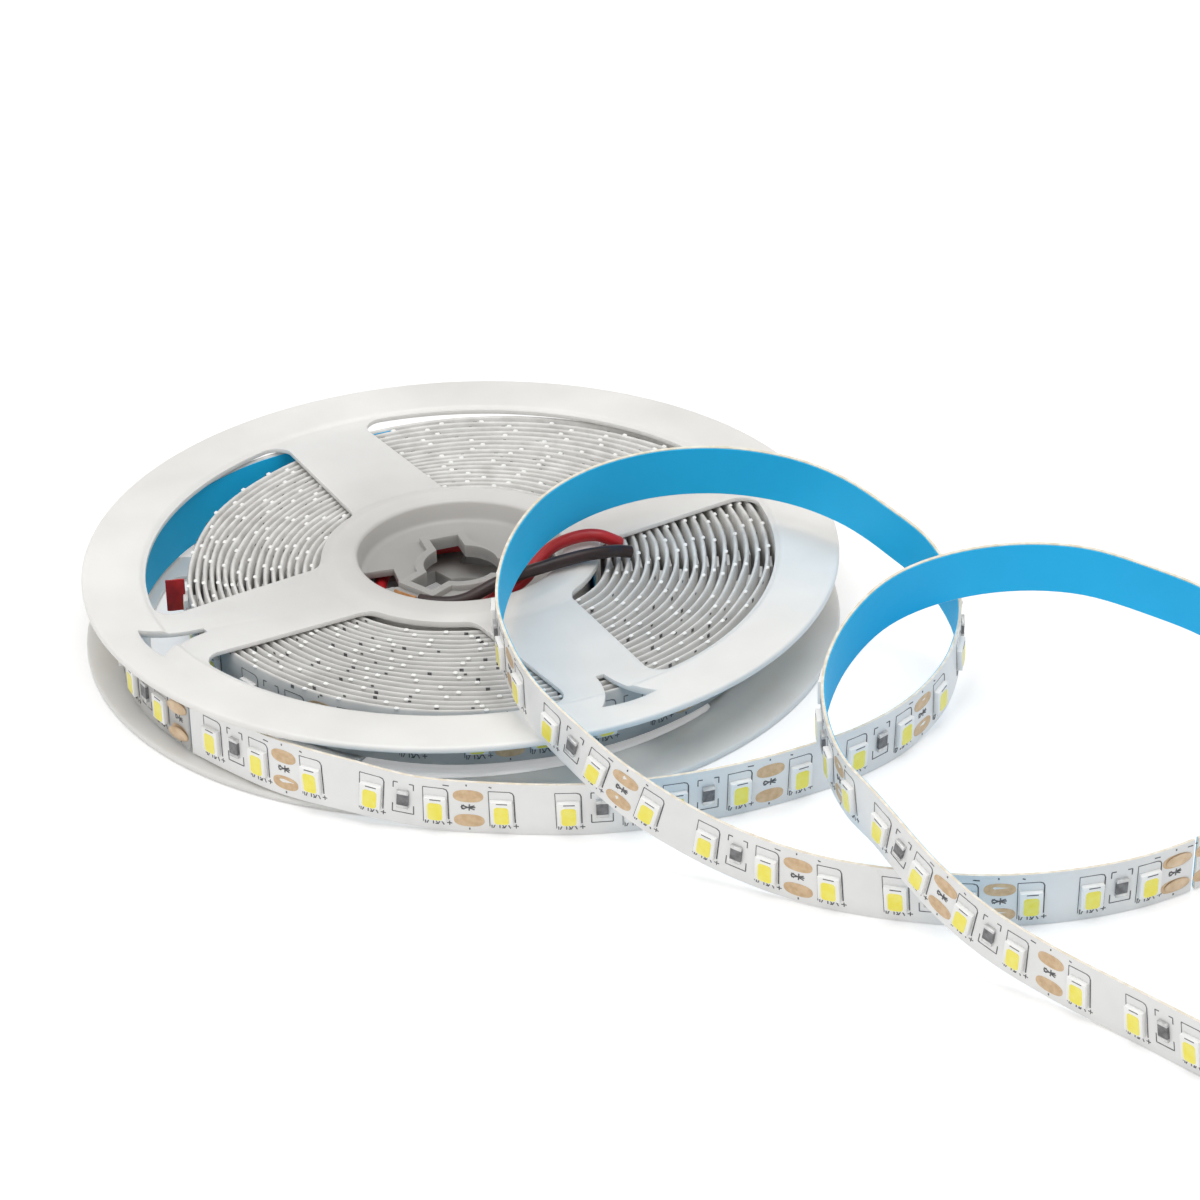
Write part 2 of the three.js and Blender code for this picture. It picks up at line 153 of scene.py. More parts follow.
def makeFinish(name, roughness, tones, scale, roughRange=None, bump=None, **sockets):
    # tones: (position, colour) stops over a soft noise; bump: scale, strength, distance in metres
    material = bpy.data.materials.new(name)
    material.use_nodes = True
    nodes, links = material.node_tree.nodes, material.node_tree.links
    shader = nodes["Principled BSDF"]
    shader.inputs["Roughness"].default_value = roughness
    for socket, value in sockets.items():
        shader.inputs[socket.replace("_", " ")].default_value = value
    where = nodes.new("ShaderNodeTexCoord")
    noise = nodes.new("ShaderNodeTexNoise")
    noise.inputs["Scale"].default_value = scale
    noise.inputs["Detail"].default_value = 3
    links.new(where.outputs["Object"], noise.inputs["Vector"])
    ramp = toneRamp(nodes, tones)
    links.new(noise.outputs["Fac"], ramp.inputs["Fac"])
    links.new(ramp.outputs["Color"], shader.inputs["Base Color"])
    if roughRange:
        spread = nodes.new("ShaderNodeMapRange")
        spread.inputs["To Min"].default_value, spread.inputs["To Max"].default_value = roughRange
        links.new(noise.outputs["Fac"], spread.inputs["Value"])
        links.new(spread.outputs["Result"], shader.inputs["Roughness"])
    if bump:
        grain = nodes.new("ShaderNodeTexNoise")
        grain.inputs["Scale"].default_value = bump[0]
        grain.inputs["Detail"].default_value = 2
        links.new(where.outputs["Object"], grain.inputs["Vector"])
        lift = nodes.new("ShaderNodeBump")
        lift.inputs["Strength"].default_value = bump[1]
        lift.inputs["Distance"].default_value = bump[2]
        links.new(grain.outputs["Fac"], lift.inputs["Height"])
        links.new(lift.outputs["Normal"], shader.inputs["Normal"])
    return material


mouldedWhite = makeFinish(
    "mouldedWhite", 0.34, [(0.3, linear(227, 225, 222)), (0.7, linear(241, 239, 236))], 55,
    roughRange=(0.28, 0.42), bump=(420, 0.12, 0.0002),
    Subsurface_Weight=0.45, Subsurface_Radius=(0.9, 0.85, 0.8), Subsurface_Scale=0.0022,
    IOR=1.49)
boardWhite = makeFinish(
    "boardWhite", 0.32, [(0.3, linear(236, 236, 235)), (0.7, linear(244, 244, 243))], 130,
    roughRange=(0.22, 0.4), bump=(260, 0.1, 0.0002), IOR=1.5)
boardEdge = makeFinish(
    "boardEdge", 0.55, [(0.35, linear(226, 214, 192)), (0.65, linear(243, 237, 224))], 900,
    bump=(1800, 0.2, 0.0001))
# Painted shade: the wound strip's white board is given a grey, for the shade in the narrow gaps between
# turns
coilBoardPaintedShade = makeFinish(
    "coilBoardPaintedShade", 0.5, [(0.3, linear(186, 185, 183)), (0.7, linear(208, 207, 204))], 130,
    bump=(260, 0.1, 0.0002))
coilEdge = makeFinish(
    "coilEdge", 0.5, [(0.3, linear(206, 204, 200)), (0.7, linear(232, 231, 228))], 420,
    bump=(1500, 0.2, 0.0001))
linerBlue = makeFinish(
    "linerBlue", 0.55, [(0.3, linear(27, 187, 242)), (0.7, linear(34, 194, 248))], 60,
    roughRange=(0.5, 0.62), bump=(300, 0.08, 0.0002), Specular_IOR_Level=0.3)
packageWhite = makeFinish(
    "packageWhite", 0.38, [(0.3, linear(246, 246, 244)), (0.7, linear(252, 252, 250))], 300,
    bump=(900, 0.1, 0.0001))
phosphorYellow = makeFinish(
    "phosphorYellow", 0.3, [(0.35, linear(252, 238, 84)), (0.65, linear(254, 244, 120))], 900,
    bump=(1500, 0.3, 0.0001))
padCopper = makeFinish(
    "padCopper", 0.42, [(0.35, linear(202, 170, 132)), (0.65, linear(218, 190, 154))], 1200,
    bump=(1600, 0.35, 0.0001), Metallic=0.25)
inkGrey = makeFinish(
    "inkGrey", 0.6, [(0.35, linear(74, 74, 76)), (0.65, linear(112, 112, 114))], 1500)
resistorDark = makeFinish(
    "resistorDark", 0.4, [(0.35, linear(92, 92, 94)), (0.65, linear(128, 128, 130))], 1200,
    bump=(1500, 0.3, 0.0001))
capSilver = makeFinish(
    "capSilver", 0.34, [(0.35, linear(188, 188, 188)), (0.65, linear(220, 220, 219))], 1100,
    bump=(1300, 0.3, 0.0001), Metallic=0.6)
solderBright = makeFinish(
    "solderBright", 0.38, [(0.35, linear(200, 172, 138)), (0.65, linear(222, 198, 168))], 700,
    bump=(900, 0.4, 0.0002), Metallic=0.35)
leadRed = makeFinish(
    "leadRed", 0.4, [(0.35, linear(172, 24, 30)), (0.65, linear(190, 36, 42))], 240,
    roughRange=(0.34, 0.48), bump=(900, 0.1, 0.0001))
leadBlack = makeFinish(
    "leadBlack", 0.48, [(0.35, linear(38, 24, 23)), (0.65, linear(52, 33, 32))], 240,
    roughRange=(0.3, 0.45), bump=(900, 0.1, 0.0001))
strandCopper = makeFinish(
    "strandCopper", 0.32, [(0.35, linear(198, 140, 92)), (0.65, linear(222, 170, 120))], 900,
    bump=(2200, 0.3, 0.0001), Metallic=0.9)
tapeRed = makeFinish(
    "tapeRed", 0.5, [(0.35, linear(150, 22, 28)), (0.65, linear(186, 34, 38))], 500,
    bump=(700, 0.2, 0.0002))


def paintShadeToCentre(material, stops):
    # Painted shade: the moulding's colour is darkened towards the hub, most in the well, where shade
    # falls. stops: distance from the axis in metres, tone
    nodes, links = material.node_tree.nodes, material.node_tree.links
    shader = nodes["Principled BSDF"]
    tone = shader.inputs["Base Color"].links[0].from_socket
    where = nodes.new("ShaderNodeTexCoord")
    flat = nodes.new("ShaderNodeVectorMath")
    flat.operation = "MULTIPLY"
    flat.inputs[1].default_value = (1, 1, 0)
    far = nodes.new("ShaderNodeVectorMath")
    far.operation = "LENGTH"
    share = nodes.new("ShaderNodeMapRange")
    reach = stops[-1][0]
    share.inputs["From Max"].default_value = reach
    ramp = toneRamp(nodes, [(distance / reach, (grey, grey, grey * 0.99, 1))
                            for distance, grey in stops])
    mix = nodes.new("ShaderNodeMix")
    mix.data_type, mix.blend_type = "RGBA", "MULTIPLY"
    mix.inputs["Factor"].default_value = 1
    links.new(where.outputs["Object"], flat.inputs[0])
    links.new(flat.outputs["Vector"], far.inputs[0])
    links.new(far.outputs["Value"], share.inputs["Value"])
    links.new(share.outputs["Result"], ramp.inputs["Fac"])
    links.new(tone, mix.inputs["A"])
    links.new(ramp.outputs["Color"], mix.inputs["B"])
    links.new(mix.outputs["Result"], shader.inputs["Base Color"])


# Painted shade on both reel halves' white, deepest in the hub's well
paintShadeToCentre(mouldedWhite, [
    (0, 0.4), (0.0125, 0.51), (0.0145, 0.78), (0.019, 0.84), (0.03, 0.95), (0.042, 1.0)])
print("finishes made")

# The loose strip's route: x, y and height of its lower edge in millimetres, lean in degrees
looseRoute = [
    (-34.3, -34, 1.2, 0), (-28.9, -39.4, 1.2, 0), (-22.4, -44.9, 1.2, 1), (-14.2, -49.5, 1.25, 4),
    (-5, -52.3, 0.3, 8), (5, -54, 0, 8), (15, -54.9, 0, 8), (25, -53.9, 0, 8), (34, -51.6, 0, 8),
    (43, -47.8, 0, 8), (51, -43, 0, 8), (58, -36.2, 0.3, 8), (63.2, -27.6, 1.8, 9),
    (64.8, -18.6, 5, 11), (61.6, -11.6, 9, 12), (56.4, -7, 12, 12), (50.8, -1.4, 13.6, 12),
    (44, 4, 14, 12), (35.5, 7.4, 14, 12), (27, 7.2, 14, 12), (19, 3.6, 14, 12),
    (12.8, -2.6, 14, 12), (8.6, -11, 14, 12), (6, -21, 13.6, 11), (5.4, -31, 12.8, 10),
    (7, -40, 12, 9), (9.8, -48.2, 11.2, 8), (14, -54.2, 9.4, 8), (19.6, -59.2, 6.2, 8),
    (26.6, -63.6, 3, 8), (34.6, -68.4, 0.9, 8), (43.6, -73.3, 0, 8), (53.4, -77, 0, 8),
    (63.6, -78.9, 0, 8), (74, -78.3, 0, 8), (84.6, -75, 0, 8), (94.4, -68.8, 0.6, 8),
    (101.4, -60.4, 3, 9), (104, -51, 6.6, 11), (102, -41.6, 10, 12), (96.4, -34.4, 12.4, 12),
    (88.6, -28.2, 13.4, 12), (80.2, -22.6, 13.6, 12), (71.4, -21.2, 13.6, 12),
    (62.4, -23.6, 13.6, 12), (54.8, -29.2, 13.4, 12), (49.2, -37, 12, 11), (46, -46.4, 10.4, 9),
    (45.6, -56, 9.6, 8), (47.2, -66, 9.3, 8), (50.8, -75.2, 9.4, 8), (56.6, -83.4, 5.6, 8),
    (62.6, -89.6, 2.6, 8), (69.6, -95.8, 0.8, 8), (77.6, -103.2, 0, 8), (86, -112.2, 0, 8),
    (95, -121.4, 0, 8), (104, -130.4, 0, 8),
]
strip = {"width": 8, "thick": 0.5, "under": 0.12, "liner": 0.13, "linerInset": 0.14,
         "splice": 331.6, "spliceGap": 0.6, "farLength": 200, "stepLength": 1.6}


def softLine(points, finer):
    # Centripetal curve through the points, with the same spacing rule as the solids
    points = [np.array(p, dtype=float) for p in points]
    points = [2 * points[0] - points[1]] + points + [2 * points[-1] - points[-2]]
    line, share = [], []
    for i in range(1, len(points) - 2):
        a, b, c, d = points[i - 1:i + 3]
        before, here, after = (max(np.dot(q - p, q - p) ** 0.25, 1e-9)
                               for p, q in ((a, b), (b, c), (c, d)))
        begin = ((b - a) / before - (c - a) / (before + here) + (c - b) / here) * here
        finish = ((c - b) / here - (d - b) / (here + after) + (d - c) / after) * here
        for k in range(finer):
            t = k / finer
            line.append(b + begin * t + (3 * (c - b) - 2 * begin - finish) * t ** 2
                        + (2 * (b - c) + begin + finish) * t ** 3)
            share.append(i - 1 + t)
    line.append(points[-2])
    share.append(len(points) - 3)
    return np.array(line), np.array(share)


class Lay:
    # A strip's line in space, with the frame that carries flat pieces along it
    def __init__(self, line, across):
        self.line, self.across = line, across
        steps = np.linalg.norm(np.diff(line, axis=0), axis=1)
        self.run = np.concatenate([[0], np.cumsum(steps)])
        self.length = self.run[-1]
        ahead = np.gradient(line, self.run, axis=0)
        self.ahead = ahead / np.linalg.norm(ahead, axis=1)[:, None]

    def read(self, table, distance):
        return np.stack([np.interp(distance, self.run, table[:, k]) for k in range(3)], axis=1)

    def carry(self, flat):
        # flat: distance along, height across, distance out of the lit face, in millimetres
        over = flat[:, 0] - np.clip(flat[:, 0], 0, self.length)
        point = self.read(self.line, flat[:, 0])
        ahead = self.read(self.ahead, flat[:, 0])
        ahead /= np.linalg.norm(ahead, axis=1)[:, None]
        up = self.read(self.across, flat[:, 0])
        up -= ahead * np.sum(up * ahead, axis=1)[:, None]
        up /= np.linalg.norm(up, axis=1)[:, None]
        out = np.cross(ahead, up)
        return point + ahead * over[:, None] + up * flat[:, 1:2] + out * flat[:, 2:3]


def leanAcross(degrees):
    lean = np.radians(degrees)
    return np.stack([np.zeros_like(lean), -np.sin(lean), np.cos(lean)], axis=1)


routeTable = np.array(looseRoute, dtype=float)
routePlaces = routeTable[:, :3] + [0, 0, strip["under"]]
routePlaces += leanAcross(routeTable[:, 3]) * strip["width"] / 2
looseLine, looseShare = softLine(routePlaces, 24)
whole = np.minimum(looseShare.astype(int), len(looseRoute) - 2)
part = looseShare - whole
blend = part * part * (3 - 2 * part)
looseLean = routeTable[whole, 3] * (1 - blend) + routeTable[whole + 1, 3] * blend
looseLay = Lay(looseLine, leanAcross(looseLean))
looseEnd = strip["splice"] + strip["spliceGap"] + strip["farLength"]
print("loose strip: route", round(looseLay.length, 1), "mm, used to", looseEnd)


# Flat pieces of the strip
def flatBar(name, start, end, low, high, inner, outer, stepLength):
    deselectAll()
    steps = max(2, round((end - start) / stepLength))
    bpy.ops.mesh.primitive_grid_add(x_subdivisions=steps, y_subdivisions=1, size=1)
    bar = bpy.context.object
    bar.name = name
    places = placesOf(bar)
    places[:, 0] = start + (places[:, 0] + 0.5) * (end - start)
    places[:, 1] = low + (places[:, 1] + 0.5) * (high - low)
    places[:, 2] = inner
    setPlaces(bar, places)
    editAll(bar)
    bpy.ops.mesh.extrude_region_move(TRANSFORM_OT_translate={"value": (0, 0, outer - inner)})
    bpy.ops.object.mode_set(mode="OBJECT")
    outwards(bar)
    return bar


def flatBlock(name, centre, size, edge=0.0, segments=2, onlyUpright=False):
    deselectAll()
    bpy.ops.mesh.primitive_cube_add(size=1)
    block = bpy.context.object
    block.name = name
    setPlaces(block, placesOf(block) * size + centre)
    if edge:
        bevel = block.modifiers.new("edge", "BEVEL")
        bevel.width, bevel.segments = edge, segments
        if onlyUpright:
            bevel.limit_method = "WEIGHT"
            weights = block.data.attributes.new("bevel_weight_edge", "FLOAT", "EDGE")
            for e in block.data.edges:
                a, b = (block.data.vertices[v].co for v in e.vertices)
                weights.data[e.index].value = float(abs(a.z - b.z) > 0.01)
        useModifiers(block)
    return block


def flatOval(centre, size, thick):
    deselectAll()
    bpy.ops.mesh.primitive_cylinder_add(vertices=28, radius=1, depth=1)
    oval = bpy.context.object
    places = placesOf(oval)
    # Fuller than an ellipse at its shoulders, as an etched pad is
    places[:, :2] = np.sign(places[:, :2]) * np.abs(places[:, :2]) ** 0.82
    setPlaces(oval, places * [size[0] / 2, size[1] / 2, thick] + centre)
    return oval


def flatStroke(start, end, width, thick, rise):
    deselectAll()
    bpy.ops.mesh.primitive_cube_add(size=1)
    stroke = bpy.context.object
    along = np.array(end, dtype=float) - start
    length = np.linalg.norm(along)
    along /= length
    side = np.array([-along[1], along[0]])
    places = placesOf(stroke)
    middle = (np.array(start, dtype=float) + end) / 2
    plan = middle + places[:, :1] * length * along + places[:, 1:2] * width * side
    setPlaces(stroke, np.column_stack([plan, rise + places[:, 2] * thick]))
    return stroke


# One cut length, in millimetres
cut = {
    "length": 25, "face": 0.25,
    "led": (2.8, 3.6, 0.7), "ledCentre": -0.3, "ledEdge": 0.12,
    "phosphor": (1.85, 2.7), "phosphorCentre": -0.6, "phosphorRise": 0.02,
    "ledBar": (1.4, 0.13), "ledBarPlace": 1.28,
    "outline": (3.2, -2.15, 2.72), "outlineRound": 0.55, "line": 0.13,
    "resistor": (1.5, 2.7, 0.45), "resistorCentre": 0.25, "cap": 0.5,
    "bracket": (2.7, -2.1, 2.65), "bracketArm": (0.75, 1.3),
    "pad": (3.85, 1.95), "padPlaces": (1.8, -2.1), "film": 0.03,
}
# Printed figures: the two ends of each stroke
figures = {
    "ticks": ((-1.35, 0), (-1.0, 0.16), (-0.35, 0), (0.05, -0.16), (0.4, 0.2), (0.8, -0.18)),
    "tickLow": -3.1, "tickHigh": -2.35,
    "plus": (((-1.35, -2.4), (-0.95, -2.55)), ((-0.1, -3.05), (0.3, -3.05)),
             ((0.4, -2.4), (0.85, -2.7)), ((1.35, -2.72), (2.0, -2.72)), ((1.68, -2.4), (1.68, -3.05))),
    "scissors": (((-0.9, -0.32), (0.75, 0.3)), ((-0.9, 0.3), (0.75, -0.34)),
                 ((0.05, -0.5), (0.12, 0.5)), ((-0.95, 0.02), (-0.55, 0.34)),
                 ((-0.95, -0.02), (-0.55, -0.36)), ((0.1, 0.0), (0.85, 0.02)),
                 ((-0.4, -0.12), (0.3, 0.14))),
    "cutLine": (((-0.15, 3.38), (-0.15, 3.66)), ((0, -3.3), (0, -3.6))),
    "leftDash": (((-1.5, 3.42), (-1.15, 3.3)),), "rightDash": (((1.0, 3.3), (1.8, 3.24)),),
}


def ledPieces():
    # One package at distance 0: its body, the phosphor and a thin printed bar above it
    face, height = cut["face"], cut["led"][2]
    package = flatBlock("package", (0, cut["ledCentre"], face + height / 2), cut["led"], cut["ledEdge"])
    phosphor = flatBlock(
        "phosphor", (0, cut["phosphorCentre"], face + height - 0.1 + cut["phosphorRise"]),
        (*cut["phosphor"], 0.2), 0.42, 3, onlyUpright=True)
    bar = flatBlock("bar", (0.1, cut["ledBarPlace"], face + height), (*cut["ledBar"], 0.04))
    return package, phosphor, bar


def printed(strokes, width):
    return [flatStroke(start, end, width, cut["film"], cut["face"] + cut["film"] / 2)
            for start, end in strokes]


def outlineStrokes():
    # Frame round a package, with a rounded corner and a heavier right side
    width, low, high = cut["outline"]
    left, right, line, corner = -width / 2, width / 2, cut["line"], cut["outlineRound"]
    turned = (right - corner * 0.3, high - corner * 0.3)
    return (printed([((left, low - 0.75), (left, high))], line * 0.7)
            + printed([((left, high), (right - corner, high))], line * 0.8)
            + printed([((right, high - corner), (right, low))], line * 1.25)
            + printed([((right - corner, high), turned), (turned, (right, high - corner))], line))


def polarityStrokes():
    # A row of small plain ticks and a plus under the package
    low, high = figures["tickLow"], figures["tickHigh"]
    ticks = [((place - slant, low), (place + slant, high)) for place, slant in figures["ticks"]]
    return printed(ticks, 0.13) + printed(figures["plus"], 0.12)


def bracketStrokes():
    width, low, high = cut["bracket"]
    left, right = -width / 2, width / 2
    short, tall = cut["bracketArm"]
    strokes = []
    for x, toward in ((left, 1), (right, -1)):
        strokes.append(((x, high), (x, high - tall * 0.7)))
        strokes.append(((x, low), (x, low + tall)))
        strokes.append(((x, high), (x + toward * short * 0.8, high)))
    strokes.append(((left, low), (right, low)))
    return printed(strokes, cut["line"])


def resistorPieces():
    length, width, height = cut["resistor"]
    centre, cap, middle = cut["resistorCentre"], cut["cap"], cut["face"] + height / 2
    chip = flatBlock("chip", (0, centre, middle), (length, width - 2 * cap, height), 0.04, 1)
    caps = [flatBlock("cap", (0, centre + side * (width - cap) / 2, middle + 0.02),
                      (length + 0.04, cap, height + 0.04), 0.07, 2) for side in (1, -1)]
    return chip, caps


ledKit = dict(zip(("package", "phosphor", "bar"), ledPieces()))
ledInk = joined(outlineStrokes() + polarityStrokes() + [ledKit["bar"]], "ledInk")
leftDash = joined(printed(figures["leftDash"], 0.16), "leftDash")
rightDash = joined(printed(figures["rightDash"], 0.14), "rightDash")
chipKit, capPair = resistorPieces()
capKit = joined(capPair, "capKit")
bracketInk = joined(bracketStrokes(), "bracketInk")
padKit = joined([flatOval((0, place, cut["face"] + cut["film"] / 2), cut["pad"], cut["film"])
                 for place in cut["padPlaces"]], "padKit")
padInk = joined(printed(figures["scissors"] + figures["cutLine"], 0.17), "padInk")
kits = [ledKit["package"], ledKit["phosphor"], ledInk, leftDash, rightDash, chipKit, capKit,
        bracketInk, padKit, padInk]
print("one cut length's pieces modelled")


def laidOut(name, kit, distances, lay):
    copies = []
    for distance in distances:
        twin = copied(kit)
        setPlaces(twin, lay.carry(placesOf(twin) + [distance, 0, 0]) * mm)
        copies.append(twin)
    row = joined(copies, name)
    smoothed(row, 30)
    return row


def finishedRow(name, kit, distances, lay, material, slot="strip_board"):
    return finished(laidOut(name, kit, distances, lay), material, slot)


# Cut lengths along the loose strip: start, end and number of packages, as the photograph shows them
looseCuts = [(-8.2, 16.8, 3), (16.8, 41.8, 3), (41.8, 66.8, 3), (55.2, 80.2, 3)]
looseCuts += [(80.2 + 25.2 * k, 105.4 + 25.2 * k, 3) for k in range(6)]
looseCuts += [(231.4, 256.6, 3), (256.6, 281.7, 3), (281.7, 306.6, 3), (306.6, 329, 3),
              (333.7, 350.3, 2), (350.3, 373.1, 3), (373.1, 395.8, 3), (395.8, 418.6, 3),
              (418.6, 441.3, 3), (441.3, 466.1, 3), (466.1, 489.9, 3), (489.9, 506.5, 2),
              (506.5, 531.9, 3)]
lastPads = [329, 531.9]
# Where the packages and the resistor stand, as shares of a cut length with three or two packages
shares = {3: ((1 / 6, 0.5, 5 / 6), 2 / 3), 2: ((0.22, 0.7), 0.46)}
# Behind the first crossing the spacing jumps: the cut length that starts before firstPass ends there
hiddenJoin, firstPass = 65, 50


def placesIn(cuts, lowest, highest):
    leds, chips, pads = [], [], []
    for start, end, count in cuts:
        span = end - start
        ledShares, chipShare = shares[count]
        stops = [start + span * s for s in ledShares]
        chip = start + span * chipShare
        if start < hiddenJoin < end:
            before = start < firstPass
            stops = [s for s in stops if (s < hiddenJoin) == before]
            chip = chip if (chip < hiddenJoin) == before else None
        leds += stops
        if chip is not None:
            chips.append(chip)
        if not start < hiddenJoin < end or start < firstPass:
            pads.append(start)
    pads += lastPads
    return [[d for d in items if lowest + reach < d < highest - reach]
            for items, reach in ((leds, 1.6), (chips, 1), (pads, 2.1))]


looseLeds, looseChips, loosePads = placesIn(looseCuts, 0, looseEnd)
print("loose strip:", len(looseLeds), "packages,", len(looseChips), "resistors,",
      len(loosePads), "cut lines")


def stripBoard(name, sections, lay, thick, liner, stepLength):
    half = strip["width"] / 2
    boards = []
    for start, end in sections:
        bar = flatBar(name, start, end, -half, half, -thick / 2 + liner, thick / 2, stepLength)
        setPlaces(bar, lay.carry(placesOf(bar)) * mm)
        boards.append(bar)
    return joined(boards, name)


def stripLiner(name, sections, lay, inset, thick, liner):
    half = strip["width"] / 2 - inset
    bars = []
    for start, end in sections:
        bar = flatBar("liner", start, end, -half, half, -thick / 2, -thick / 2 + liner - 0.005, 1.6)
        setPlaces(bar, lay.carry(placesOf(bar)) * mm)
        bars.append(bar)
    row = finished(joined(bars, name), linerBlue, "strip_board")
    smoothed(row)
    return row


def edgeFaces(thing, lay, material):
    # Faces that aren't on the lit face take the edge's material
    thing.data.materials.append(material)
    thing.data.update()
    normals = np.array([p.normal[:] for p in thing.data.polygons])
    centres = np.array([p.center[:] for p in thing.data.polygons]) / mm
    step = max(1, len(lay.line) // 6000)
    line, across, ahead = lay.line[::step], lay.across[::step], lay.ahead[::step]
    tree = KDTree(len(line))
    for i, p in enumerate(line):
        tree.insert(Vector(p), i)
    tree.balance()
    for polygon, normal, centre in zip(thing.data.polygons, normals, centres):
        i = tree.find(Vector(centre))[1]
        out = np.cross(ahead[i], across[i])
        if np.dot(out, normal) < 0.6:
            polygon.material_index = 1


looseSections = [(0, strip["splice"]), (strip["splice"] + strip["spliceGap"], looseEnd)]
looseBoard = stripBoard("loose_strip", looseSections, looseLay, strip["thick"], strip["liner"],
                        strip["stepLength"])
finished(looseBoard, boardWhite, "strip_board", "loose_strip_near", "loose_strip_far")
edgeFaces(looseBoard, looseLay, boardEdge)
smoothed(looseBoard)

looseLiner = stripLiner("loose_liner", looseSections, looseLay, strip["linerInset"],
                        strip["thick"], strip["liner"])
loosePackages = finishedRow("loose_packages", ledKit["package"], looseLeds, looseLay, packageWhite)
loosePhosphor = finishedRow("loose_phosphor", ledKit["phosphor"], looseLeds, looseLay, phosphorYellow)
# The dashes stand over the packages on both sides of a cut line
dashPlace = 4.17
looseInk = joined([
    laidOut("ink", ledInk, looseLeds, looseLay),
    laidOut("ink", leftDash, [p + dashPlace for p in loosePads if p + 5 < looseEnd], looseLay),
    laidOut("ink", rightDash, [p - dashPlace for p in loosePads if p > 6], looseLay),
    laidOut("ink", bracketInk, looseChips, looseLay),
    laidOut("ink", padInk, loosePads, looseLay),
], "loose_ink")
finished(looseInk, inkGrey, "strip_board")
looseChipRow = finishedRow("loose_resistors", chipKit, looseChips, looseLay, resistorDark)
looseCaps = finishedRow("loose_resistor_caps", capKit, looseChips, looseLay, capSilver, "solder")
loosePadRow = finishedRow("loose_pads", padKit, loosePads, looseLay, padCopper, "solder")
print("loose strip laid")


# Solder on the pads just before each seam
solder = {"size": (1.85, 0.92, 0.16), "foot": -0.02, "ripple": 0.025, "rippleRate": 2.3, "lift": 0.1,
          "back": 2.5}


def solderBlob(name, distance, place, node):
    deselectAll()
    bpy.ops.mesh.primitive_uv_sphere_add(segments=24, ring_count=12, radius=1)
    blob = bpy.context.object
    places = placesOf(blob) * solder["size"]
    places[:, 2] = np.maximum(places[:, 2], solder["foot"])
    places[:, 2] += solder["ripple"] * np.sin(places[:, 0] * solder["rippleRate"] + place)
    setPlaces(blob, looseLay.carry(places + [distance, place, cut["face"] + solder["lift"]]) * mm)
    outwards(blob)
    blob.name = blob.data.name = name
    smoothed(blob, 60)
    return finished(blob, solderBright, "solder", node)


solders = []
for join, middle in enumerate((0, strip["splice"] + strip["spliceGap"] / 2), 1):
    for side, place in zip(("upper", "lower"), cut["padPlaces"]):
        solders.append(solderBlob(f"splice_solder_{side}_{join}", middle - solder["back"], place,
                                  f"splice_solder_{len(solders) + 1}"))

pathDistances = np.arange(0, looseEnd + 0.1, 2.0)
middleLine = np.column_stack([pathDistances, 0 * pathDistances, 0 * pathDistances])
pathPoints = looseLay.carry(middleLine) * mm

# The wound strip: millimetres, degrees, and wobbles as size, rate and phase
coil = {"turns": 18, "pitch": 1.175, "inner": 18.25, "start": -10, "leave": 112, "shift": 2.6,
        "perTurn": 100, "height": 5.3, "thick": 0.68, "liner": 0.12, "linerInset": 0.3,
        "innerLiner": 60, "outerLiner": 92, "edge": 0.18, "finer": 16,
        "ledSize": (2.8, 3.6, 0.36), "glintNub": (0.66, 0.3, 0.52), "seenEnd": 345, "plainEnd": 120,
        "wobble": ((0.2, 3.05, 1.0), (0.1, 7.1, 2.2), (0.05, 13.15, 4.1)),
        "slack": 1.9, "slackTurns": 8, "slackAngle": 78}
leavingRoute = [(-23, 34.2), (-30, 29.9), (-36.6, 22.8), (-40.9, 14.7), (-43.4, 5.8), (-44.5, -4.4),
                (-44.1, -14.6), (-41, -23.9)]
turns = coil["turns"] + (coil["leave"] - coil["start"]) / 360
turn = np.linspace(0, turns, round(turns * coil["perTurn"]) + 1)
fade = np.clip(turn / 0.5, 0, 1) * np.clip((turns - turn) / 0.5, 0, 1)
radius = coil["inner"] + coil["pitch"] * turn
for size, rate, phase in coil["wobble"]:
    radius = radius + size * fade * np.sin(turn * rate * 2 * math.pi + phase)
angle = math.radians(coil["start"]) + turn * 2 * math.pi
# The last turns lie looser at the back of the reel
looseness = np.clip((turn - turns + coil["slackTurns"]) / coil["slackTurns"], 0, 1)
towardBack = np.clip(np.cos(angle - math.radians(coil["slackAngle"])), 0, 1) ** 2
radius = radius + coil["slack"] * looseness * towardBack
spiral = np.column_stack([
    coil["shift"] * turn / turns + radius * np.cos(angle),
    radius * np.sin(angle),
    coil["height"] + 0 * turn])
spliceStart = looseLay.carry(np.array([[0.0, 0, 0]]))[0]
guide = [spiral[-4], spiral[-1]] + [(x, y, coil["height"]) for x, y in leavingRoute] + [spliceStart]
leaving, _ = softLine(guide, coil["finer"])
leaving = leaving[np.linalg.norm(leaving - spiral[-1], axis=1) > 0.5][coil["finer"]:]
woundLine = np.vstack([spiral, leaving])
keep = np.concatenate([[True], np.linalg.norm(np.diff(woundLine, axis=0), axis=1) > 1e-3])
woundLine = woundLine[keep]
woundLay = Lay(woundLine, np.tile([0.0, 0, 1], (len(woundLine), 1)))
woundEnd = woundLay.length - strip["spliceGap"]
print("wound strip:", round(woundEnd), "mm")

woundBoard = stripBoard("wound_strip_board", [(0, woundEnd)], woundLay, coil["thick"],
                        coil["liner"], 1.3)
bevel = woundBoard.modifiers.new("edge", "BEVEL")
bevel.width, bevel.segments, bevel.limit_method = coil["edge"] * mm, 1, "ANGLE"
useModifiers(woundBoard)
# The wound board's face takes the painted-shade grey
finished(woundBoard, coilBoardPaintedShade, "strip_board", "wound_strip")
edgeFaces(woundBoard, woundLay, coilEdge)
smoothed(woundBoard, 50)
